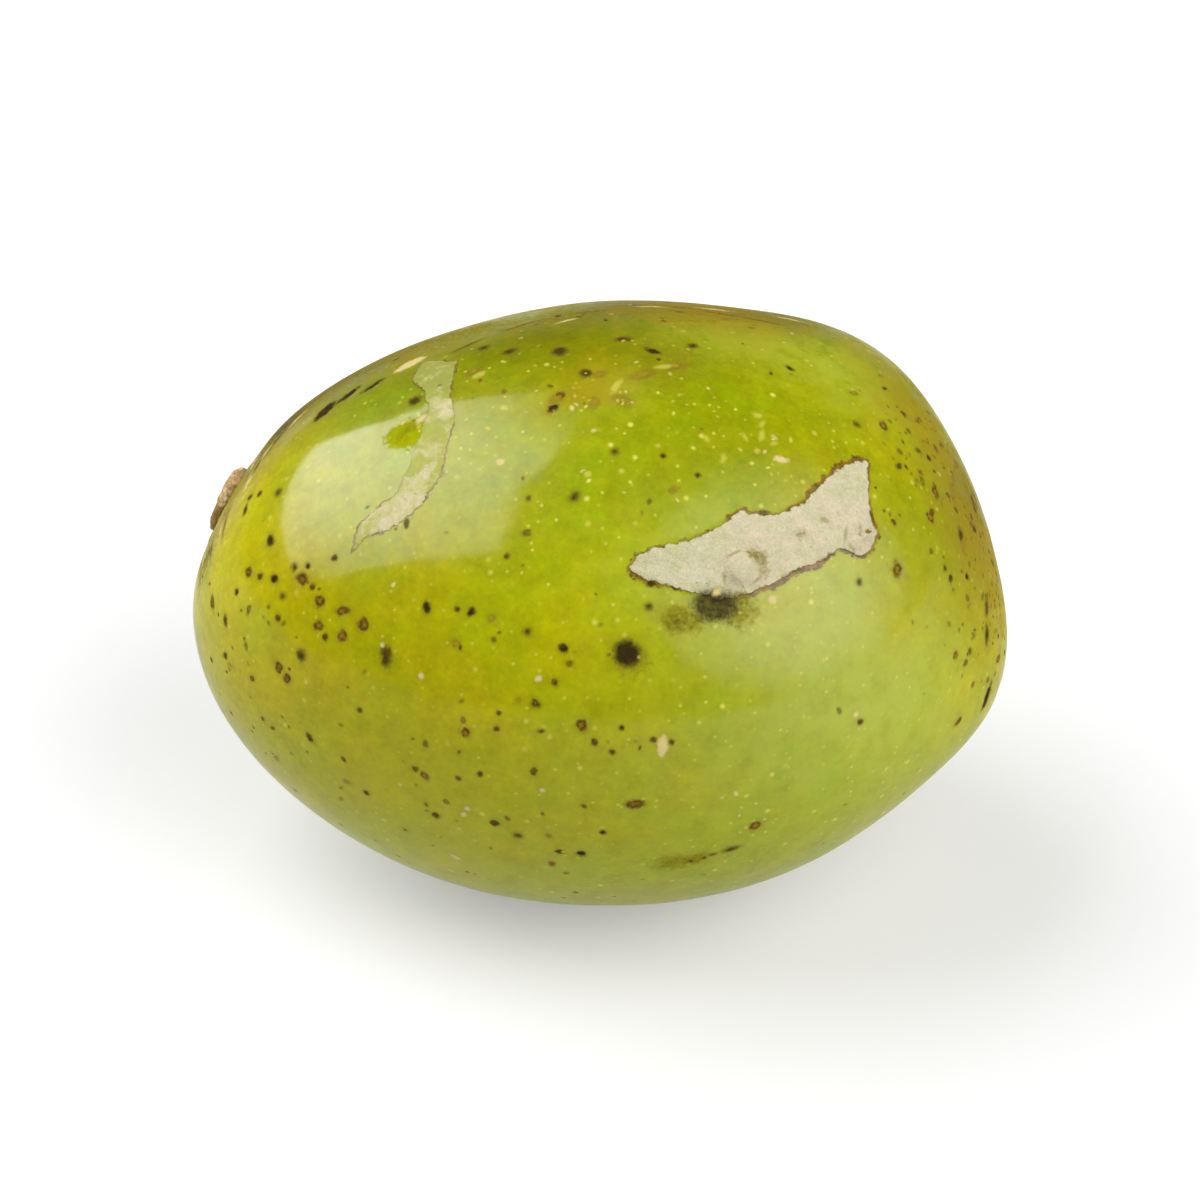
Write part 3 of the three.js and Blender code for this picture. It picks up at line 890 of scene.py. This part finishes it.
    # Olive stains, which along the top and back-left edges are partly painted shade, and dark sooty smudges
    # with grainy edges
    turned = net.turned(place)
    grit = net.ramp(net.noise(turned, 0.9, 4.0, 0.8, 1.2), 0.3, 0.7, -0.45, 0.45)
    patchy = net.ramp(net.noise(turned, 0.45, 3.0, 0.7), 0.3, 0.7, 0.35, 1.15)
    stain_and_shade = net.step(net.plus(net.field("stain_and_shade"), grit), 0.15, 1.1)
    stain_and_shade = net.times(stain_and_shade, patchy, clamp=True)
    ground = net.mix(stain_and_shade, ground, colours.stain_and_shade)
    soot = net.step(net.plus(net.field("soot"), net.times(grit, 0.55)), 0.1, 1.1)
    soot = net.times(soot, net.ramp(patchy, 0.45, 1.0, 0.8, 1.0))
    ground = net.mix(soot, ground, colours.soot)

    # Dark spots, some with a pale middle, then cream flakes
    spot = net.marks(made["Spot"], "spot", place, 1.5)
    ground = net.mix(net.times(spot["Halo"], 0.45), ground, colours.stain_and_shade)
    dark = net.mix(net.step(spot["Black"], 0.0, 0.45), colours.rust, colours.speck)
    dark = net.mix(net.step(spot["Black"], 0.5, 1.0), dark, colours.blotch)
    dark = net.mix(net.times(spot["Middle"], 0.8), dark, colours.russet)
    ground = net.mix(spot["Mask"], ground, dark)
    flake = net.marks(made["Spot"], "flake", place, 1.4)
    ground = net.mix(net.times(flake["Halo"], 0.2), ground, colours.russet)
    tan = net.mix(net.step(flake["Black"], 0.1, 0.6), colours.flake, colours.oil_dot)
    ground = net.mix(flake["Mask"], ground, tan)
    net.feed(shader.inputs["Base Color"], ground)

    # Wax shines over the clean skin, most on top of the fruit, and dry marks are dull
    dull = net.step(net.plus(net.field("dull"), grit), 0.35, 0.75)
    dry = net.most(cork["Inside"], net.times(film["Inside"], 0.8))
    for mask in (dull, wash, russet, stain_and_shade, soot, spot["Mask"], flake["Mask"]):
        dry = net.most(dry, mask)
    net.feed(shader.inputs["Roughness"], net.between(dry, 0.3, 0.85))
    shader.inputs["IOR"].default_value = 1.45
    shader.inputs["Specular IOR Level"].default_value = 0.06
    wax = net.times(net.field("gloss"), net.ramp(net.noise(place, 1.3, 3.0, 0.7), 0.3, 0.7, 1.12, 0.82))
    net.feed(shader.inputs["Coat Weight"], net.times(wax, net.minus(1.0, dry), clamp=True))
    shader.inputs["Coat IOR"].default_value = 1.62
    shader.inputs["Coat Roughness"].default_value = 0.1

    # Relief too fine for the mesh, in millimetres
    peel = net.times(net.noise(place, 0.8, 3.0, 0.55), 0.01)
    rough = net.most(cork["Inside"], net.times(film["Inside"], 0.5))
    relief = net.plus(peel, net.times(net.times(cork_face["Height"], rough), 0.3))
    bump = net.add("ShaderNodeBump", {"Height": relief, "Distance": MM, "Strength": 1.0})
    net.feed(shader.inputs["Normal"], bump.outputs["Normal"])
    return material


def stump_material(colours):
    """The stump's dry, crumbly cork, darker at its foot and in its broken face."""
    material, net, shader = new_material("june plum stump")
    place = net.place()
    face = net.group(
        groups()["Dry cork"], place=place, pale=colours.stump, shade=colours.stump_brown,
        pore=colours.speck, grain=0.5, cracks=1.0)
    foot = net.step(net.field("rise"), 0.5, -0.1)
    low = net.plus(net.field("crest"), net.ramp(net.noise(place, 1.2, 4.0, 0.7), 0.3, 0.7, -0.3, 0.3))
    ground = net.mix(net.step(low, 0.65, 0.0), face["Colour"], colours.stump_shade)
    middle = net.times(net.step(net.field("across"), 0.75, 0.5), 0.75)
    ground = net.mix(middle, ground, colours.stump_shade)
    ground = net.mix(net.times(foot, 0.85), ground, colours.speck)
    net.feed(shader.inputs["Base Color"], ground)
    net.feed(shader.inputs["Roughness"], net.ramp(face["Height"], 0.2, 0.8, 0.9, 0.6))
    relief = net.times(face["Height"], 0.25)
    bump = net.add("ShaderNodeBump", {"Height": relief, "Distance": MM, "Strength": 1.0})
    net.feed(shader.inputs["Normal"], bump.outputs["Normal"])
    return material


def floor_material(colours):
    """Plain pale board that the camera and reflections see as white, where no shadow falls."""
    material, net, shader = new_material("stage floor")
    drift = net.noise(net.place(), 90, 3.0, 0.5)
    shade = [0.98 * value for value in colours.floor]
    net.feed(shader.inputs["Base Color"], net.mix(drift, colours.floor, shade))
    shader.inputs["Roughness"].default_value = 0.6
    shader.inputs["Specular IOR Level"].default_value = 0.1
    rays = net.add("ShaderNodeLightPath").outputs
    seen = net.most(rays["Is Camera Ray"], rays["Is Glossy Ray"])
    seen = net.most(seen, rays["Is Transmission Ray"])
    shader.inputs["Emission Color"].default_value = (1, 1, 1, 1)
    net.feed(shader.inputs["Emission Strength"], net.times(seen, 0.3))
    material.cycles.emission_sampling = "NONE"
    return material


# ---------- operators


class JUNEPLUM_OT_fruit(bpy.types.Operator):
    """Build the fruit's skin with its relief, its marks and its material"""

    bl_idname = "june_plum.fruit"
    bl_label = "Build the fruit"

    def relief(self, skin, sizes, cork, film):
        """How far the marks lift or sink each point, in millimetres."""
        grain = wave_field(skin.points, 1.2, 2)
        height = smooth_step(-0.25, 0.25, cork) * (0.14 + 0.07 * grain)
        height += smooth_step(-0.2, 0.2, film) * (0.05 + 0.04 * grain)
        middle, radius, rise = BLISTER
        height += rise * smooth_step(radius, 0.6 * radius, skin.distance(middle))
        middle, radius, rise = TAIL_FOLDS
        folds = np.abs(wave_field(skin.points, 1.6, 2))
        creased = smooth_step(-0.1, 0.4, cork) * smooth_step(radius, 0, skin.distance(middle))
        height += 5 * rise * creased * folds
        stalk = skin.distance(STALK_END)
        seat = SEAT * sizes.stump_radius / MM
        height -= 0.9 * smooth_step(seat, seat - 0.6, stalk)
        height += 0.1 * np.exp(-((stalk - seat - 0.7) / 0.6) ** 2) * (1 + 0.9 * grain)
        height -= 0.45 * smooth_step(1.5, 0.3, skin.distance(TIP_END))
        for places, lift in ((BLOTCHES + RINGS, -0.07), (FLAKES, 0.06)):
            for turn, rise, radius, *_ in places:
                away = skin.distance(toward(turn, rise))
                height += lift * smooth_step(radius + 0.3, 0.4 * radius, away)
        return height

    def execute(self, context):
        sizes = context.scene.june_plum_sizes
        skin = Skin(sizes)
        cork, cork_edge = skin.scar_depth(FISH_SCAR)
        film, film_edge = skin.scar_depth(STRIP_SCAR)
        for patch in PATCHES:
            depth = skin.patch_depth(*patch)
            cork_edge = np.where(depth > cork, 0.9, cork_edge)
            cork = np.maximum(depth, cork)
        generator = np.random.default_rng(SEED)
        spots = [mark(*place, **look) for places, look in SPOT_LOOKS for place in places]
        spots += scatter(generator, SPECK_CLUSTERS, 0.1, 0.36)
        flakes = [mark(*place, **look) for places, look in FLAKE_LOOKS for place in places]
        flakes += scatter(generator, FLAKE_CLUSTERS, 0.08, 0.22)
        seat_line = np.exp(-((skin.distance(STALK_END) - SEAT * sizes.stump_radius / MM) / 0.5) ** 2)
        skin.lift(self.relief(skin, sizes, cork, film))
        skin.flatten(sizes.rest_depth)

        piece = new_mesh("plum_skin", skin.points, skin.quads, skin.flat)
        zoned = {name: base + zone_field(skin.directions, zones) for name, base, zones in ZONED_FIELDS}
        zoned["soot"] += seat_line
        store(piece.data, "POINT", {
            **zoned,
            "cork": cork,
            "cork_edge": cork_edge,
            "film": film,
            "film_edge": film_edge,
        })
        store(piece.data, "FACE", mark_attributes(skin, "spot", spots))
        store(piece.data, "FACE", mark_attributes(skin, "flake", flakes))
        piece.data.materials.append(skin_material(context.scene.june_plum_colours))
        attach(piece, "root")
        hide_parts("fruit")
        return {"FINISHED"}


class JUNEPLUM_OT_stump(bpy.types.Operator):
    """Build the corky stump of the stalk in its seat"""

    bl_idname = "june_plum.stump"
    bl_label = "Build the stalk's stump"

    rings = 64
    sides = 140
    proud = 0.0011
    sunk = 0.0007
    tilt = 0.3

    def profile(self, radius):
        """Radius and height from the middle of the foot, up the side, over the lip and into the dish."""
        corners = np.array([
            (0, -self.sunk), (0.86 * radius, -self.sunk), (0.95 * radius, -0.3 * self.sunk),
            (radius, 0.2 * self.proud), (0.98 * radius, 0.5 * self.proud), (0.92 * radius, 0.75 * self.proud),
            (0.82 * radius, 0.93 * self.proud), (0.72 * radius, self.proud),
            (0.62 * radius, 0.93 * self.proud), (0.5 * radius, 0.7 * self.proud), (0, 0.6 * self.proud),
        ])
        length = np.append(0, np.cumsum(np.linalg.norm(np.diff(corners, axis=0), axis=1)))
        stations = np.linspace(0, length[-1], self.rings + 1)
        return np.stack([np.interp(stations, length, corners[:, k]) for k in (0, 1)], -1)

    def execute(self, context):
        radius = context.scene.june_plum_sizes.stump_radius
        outline = self.profile(radius)[1:-1]
        turn = np.arange(self.sides) * 2 * math.pi / self.sides
        across, height = outline[:, 0, None], outline[:, 1, None]
        local = np.stack([across * np.cos(turn), across * np.sin(turn), height + 0 * turn], -1).reshape(-1, 3)
        local = np.vstack([(0, 0, -self.sunk), local, (0, 0, 0.6 * self.proud)])
        lip = np.hypot(local[:, 0], local[:, 1]) / radius
        shown = smooth_step(-0.2 * self.proud, 0.5 * self.proud, local[:, 2])
        lumps = wave_field(local + 0.01, 2.2, 2) * 0.7 + wave_field(local, 0.8, 3) * 0.45
        rise = local[:, 2] / self.proud
        crest = local[:, 1] / radius
        local[:, 2] *= 1 + self.tilt * local[:, 1] / radius * shown
        local += unit(local + (0, 0, 0.5 * radius)) * (lumps * shown * 0.4 * MM)[:, None]
        axis = egg_normal(STALK_END)
        side = unit(np.cross((0, 0, 1), axis))
        points = local @ np.stack([side, np.cross(axis, side), axis])
        points += (STUMP_LOW + STUMP_HIGH) / 2 - (points.min(0) + points.max(0)) / 2

        first = 1 + np.arange(len(outline) - 1)[:, None] * self.sides + np.arange(self.sides)
        after = 1 + np.arange(len(outline) - 1)[:, None] * self.sides + np.roll(np.arange(self.sides), -1)
        quads = np.stack([first, after, after + self.sides, first + self.sides], -1).reshape(-1, 4).tolist()
        last = len(points) - 1
        foot = [[0, 1 + (k + 1) % self.sides, 1 + k] for k in range(self.sides)]
        rim = last - self.sides
        face = [[last, rim + k, rim + (k + 1) % self.sides] for k in range(self.sides)]
        mesh = bpy.data.meshes.new("stalk_stump_cork")
        mesh.from_pydata(points.tolist(), [], quads + foot + face)
        mesh.shade_smooth()
        piece = bpy.data.objects.new("stalk_stump_cork", mesh)
        context.scene.collection.objects.link(piece)
        store(mesh, "POINT", {"rise": rise, "across": lip, "crest": crest})
        mesh.materials.append(stump_material(context.scene.june_plum_colours))
        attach(piece, "root")
        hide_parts("stalk_stump")
        return {"FINISHED"}


class JUNEPLUM_OT_stage(bpy.types.Operator):
    """Lay the floor and set the lamps, the world and the camera"""

    bl_idname = "june_plum.stage"
    bl_label = "Set the stage"

    floor_half = 6.0
    floor_gap = 0.00004
    world_strength = 0.15
    view = (-94.8, 40)  # the camera's turn and rise
    view_distance = 0.7
    view_width = 0.118  # how much the picture spans at the fruit
    sensor = 36

    def lay_floor(self, context):
        half = self.floor_half
        corners = [(-half, -half, -self.floor_gap), (half, -half, -self.floor_gap),
                   (half, half, -self.floor_gap), (-half, half, -self.floor_gap)]
        floor = new_mesh("stage_floor", np.array(corners), np.array([[0, 1, 2, 3]]))
        floor.data.materials.append(floor_material(context.scene.june_plum_colours))

    def hang_lamp(self, context, name, direction, size, radiance, roll=0.0, fade=math.pi):
        """A soft rectangular lamp, one metre from the fruit and facing it. Where a fade angle is given, the
        lamp has a grid that makes it dimmer towards its sides, and out of sight beyond half that angle."""
        lamp = bpy.data.lights.new(name, "AREA")
        lamp.shape = "RECTANGLE"
        lamp.size, lamp.size_y = size
        lamp.spread = fade
        held_back = 1 if fade == math.pi else 1 - fade / 2 / math.tan(fade / 2)
        lamp.energy = radiance * math.pi * size[0] * size[1] * held_back
        holder = bpy.data.objects.new(name, lamp)
        outward = Vector(direction)
        holder.location = self.target() + outward
        holder.rotation_euler = outward.to_track_quat("Z", "Y").to_euler()
        holder.rotation_euler.rotate_axis("Z", math.radians(roll))
        context.scene.collection.objects.link(holder)

    def target(self):
        return Vector((FRUIT_LOW + FRUIT_HIGH) / 2)

    def set_camera(self, context):
        camera = bpy.data.cameras.new("camera")
        camera.sensor_width = self.sensor
        camera.lens = self.sensor * self.view_distance / self.view_width
        camera.clip_start = 0.01
        camera.clip_end = 50
        holder = bpy.data.objects.new("camera", camera)
        back = Vector(toward(*self.view))
        holder.location = self.target() + back * self.view_distance
        holder.rotation_euler = back.to_track_quat("Z", "Y").to_euler()
        context.scene.collection.objects.link(holder)
        context.scene.camera = holder

    def execute(self, context):
        self.lay_floor(context)
        self.hang_lamp(context, "lamp_back_left", toward(155, 47.5), (1.12, 1.06), 3.35)
        self.hang_lamp(context, "lamp_front_right", toward(-33, 36), (1.5, 1.5), 5.0, fade=math.radians(86))
        world = bpy.data.worlds.new("studio")
        world.use_nodes = True
        light = world.node_tree.nodes["Background"].inputs
        light["Color"].default_value = (1, 1, 1, 1)
        light["Strength"].default_value = self.world_strength
        context.scene.world = world
        context.scene.view_settings.view_transform = "Standard"
        self.set_camera(context)
        return {"FINISHED"}


class JUNEPLUM_PT_panel(bpy.types.Panel):
    """Sizes, colours and build steps of the june plum"""

    bl_idname = "JUNEPLUM_PT_panel"
    bl_label = "June plum"
    bl_space_type = "VIEW_3D"
    bl_region_type = "UI"
    bl_category = "June plum"

    def draw(self, context):
        layout = self.layout
        for settings in (context.scene.june_plum_sizes, context.scene.june_plum_colours):
            box = layout.box()
            for name in settings.__annotations__:
                box.prop(settings, name)
        for step in STEPS:
            layout.operator(step.bl_idname)


STEPS = (JUNEPLUM_OT_fruit, JUNEPLUM_OT_stump, JUNEPLUM_OT_stage)
CLASSES = (PlumSizes, PlumColours, *STEPS, JUNEPLUM_PT_panel)


def register():
    for cls in CLASSES:
        bpy.utils.register_class(cls)
    bpy.types.Scene.june_plum_sizes = PointerProperty(type=PlumSizes)
    bpy.types.Scene.june_plum_colours = PointerProperty(type=PlumColours)


def unregister():
    del bpy.types.Scene.june_plum_colours
    del bpy.types.Scene.june_plum_sizes
    for cls in reversed(CLASSES):
        bpy.utils.unregister_class(cls)


def main():
    register()
    bpy.ops.june_plum.fruit()
    bpy.ops.june_plum.stump()
    bpy.ops.june_plum.stage()


if __name__ == "__main__":
    main()
